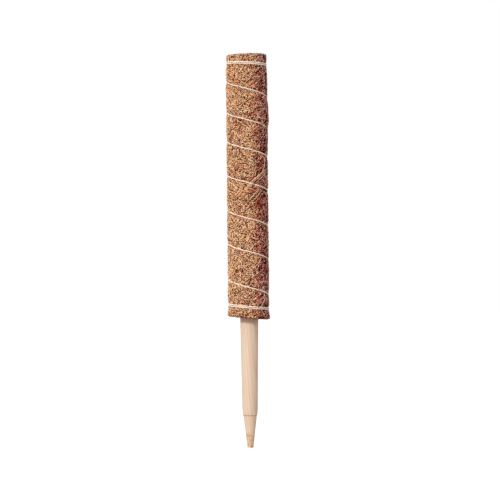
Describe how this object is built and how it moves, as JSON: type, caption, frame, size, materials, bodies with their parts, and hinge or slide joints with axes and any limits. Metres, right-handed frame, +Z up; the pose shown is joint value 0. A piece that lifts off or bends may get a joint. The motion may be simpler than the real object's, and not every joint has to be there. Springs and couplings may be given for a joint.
{
  "type": "moss pole",
  "caption": "Stackable coir moss pole: a pointed wooden stake in a hollow core tube, wrapped in a coir fibre mat that is bound down by wound twine.",
  "frame": {"origin": "centre of the stake's blunt tip, the lowest point of the pole", "axes": "+Z up along the pole, -Y towards the viewer of the picture, +X to the viewer's right; the mat's seam faces +Y"},
  "size_m": [0.0414, 0.0414, 0.4],
  "materials": {
    "stake_wood": "bare turned softwood",
    "tube_plastic": "matt extruded",
    "nail_steel": "bright wire",
    "coir": "matted coir fibre",
    "twine": "undyed spun twine"
  },
  "bodies": {
    "root": {"ground_stake": "stake_wood", "core_tube": "tube_plastic", "stake_nail_1": "nail_steel", "stake_nail_2": "nail_steel", "coir_mat": "coir", "binding_twine": "twine", "top_knot": "twine", "bottom_knot": "twine"}
  },
  "joints": []
}
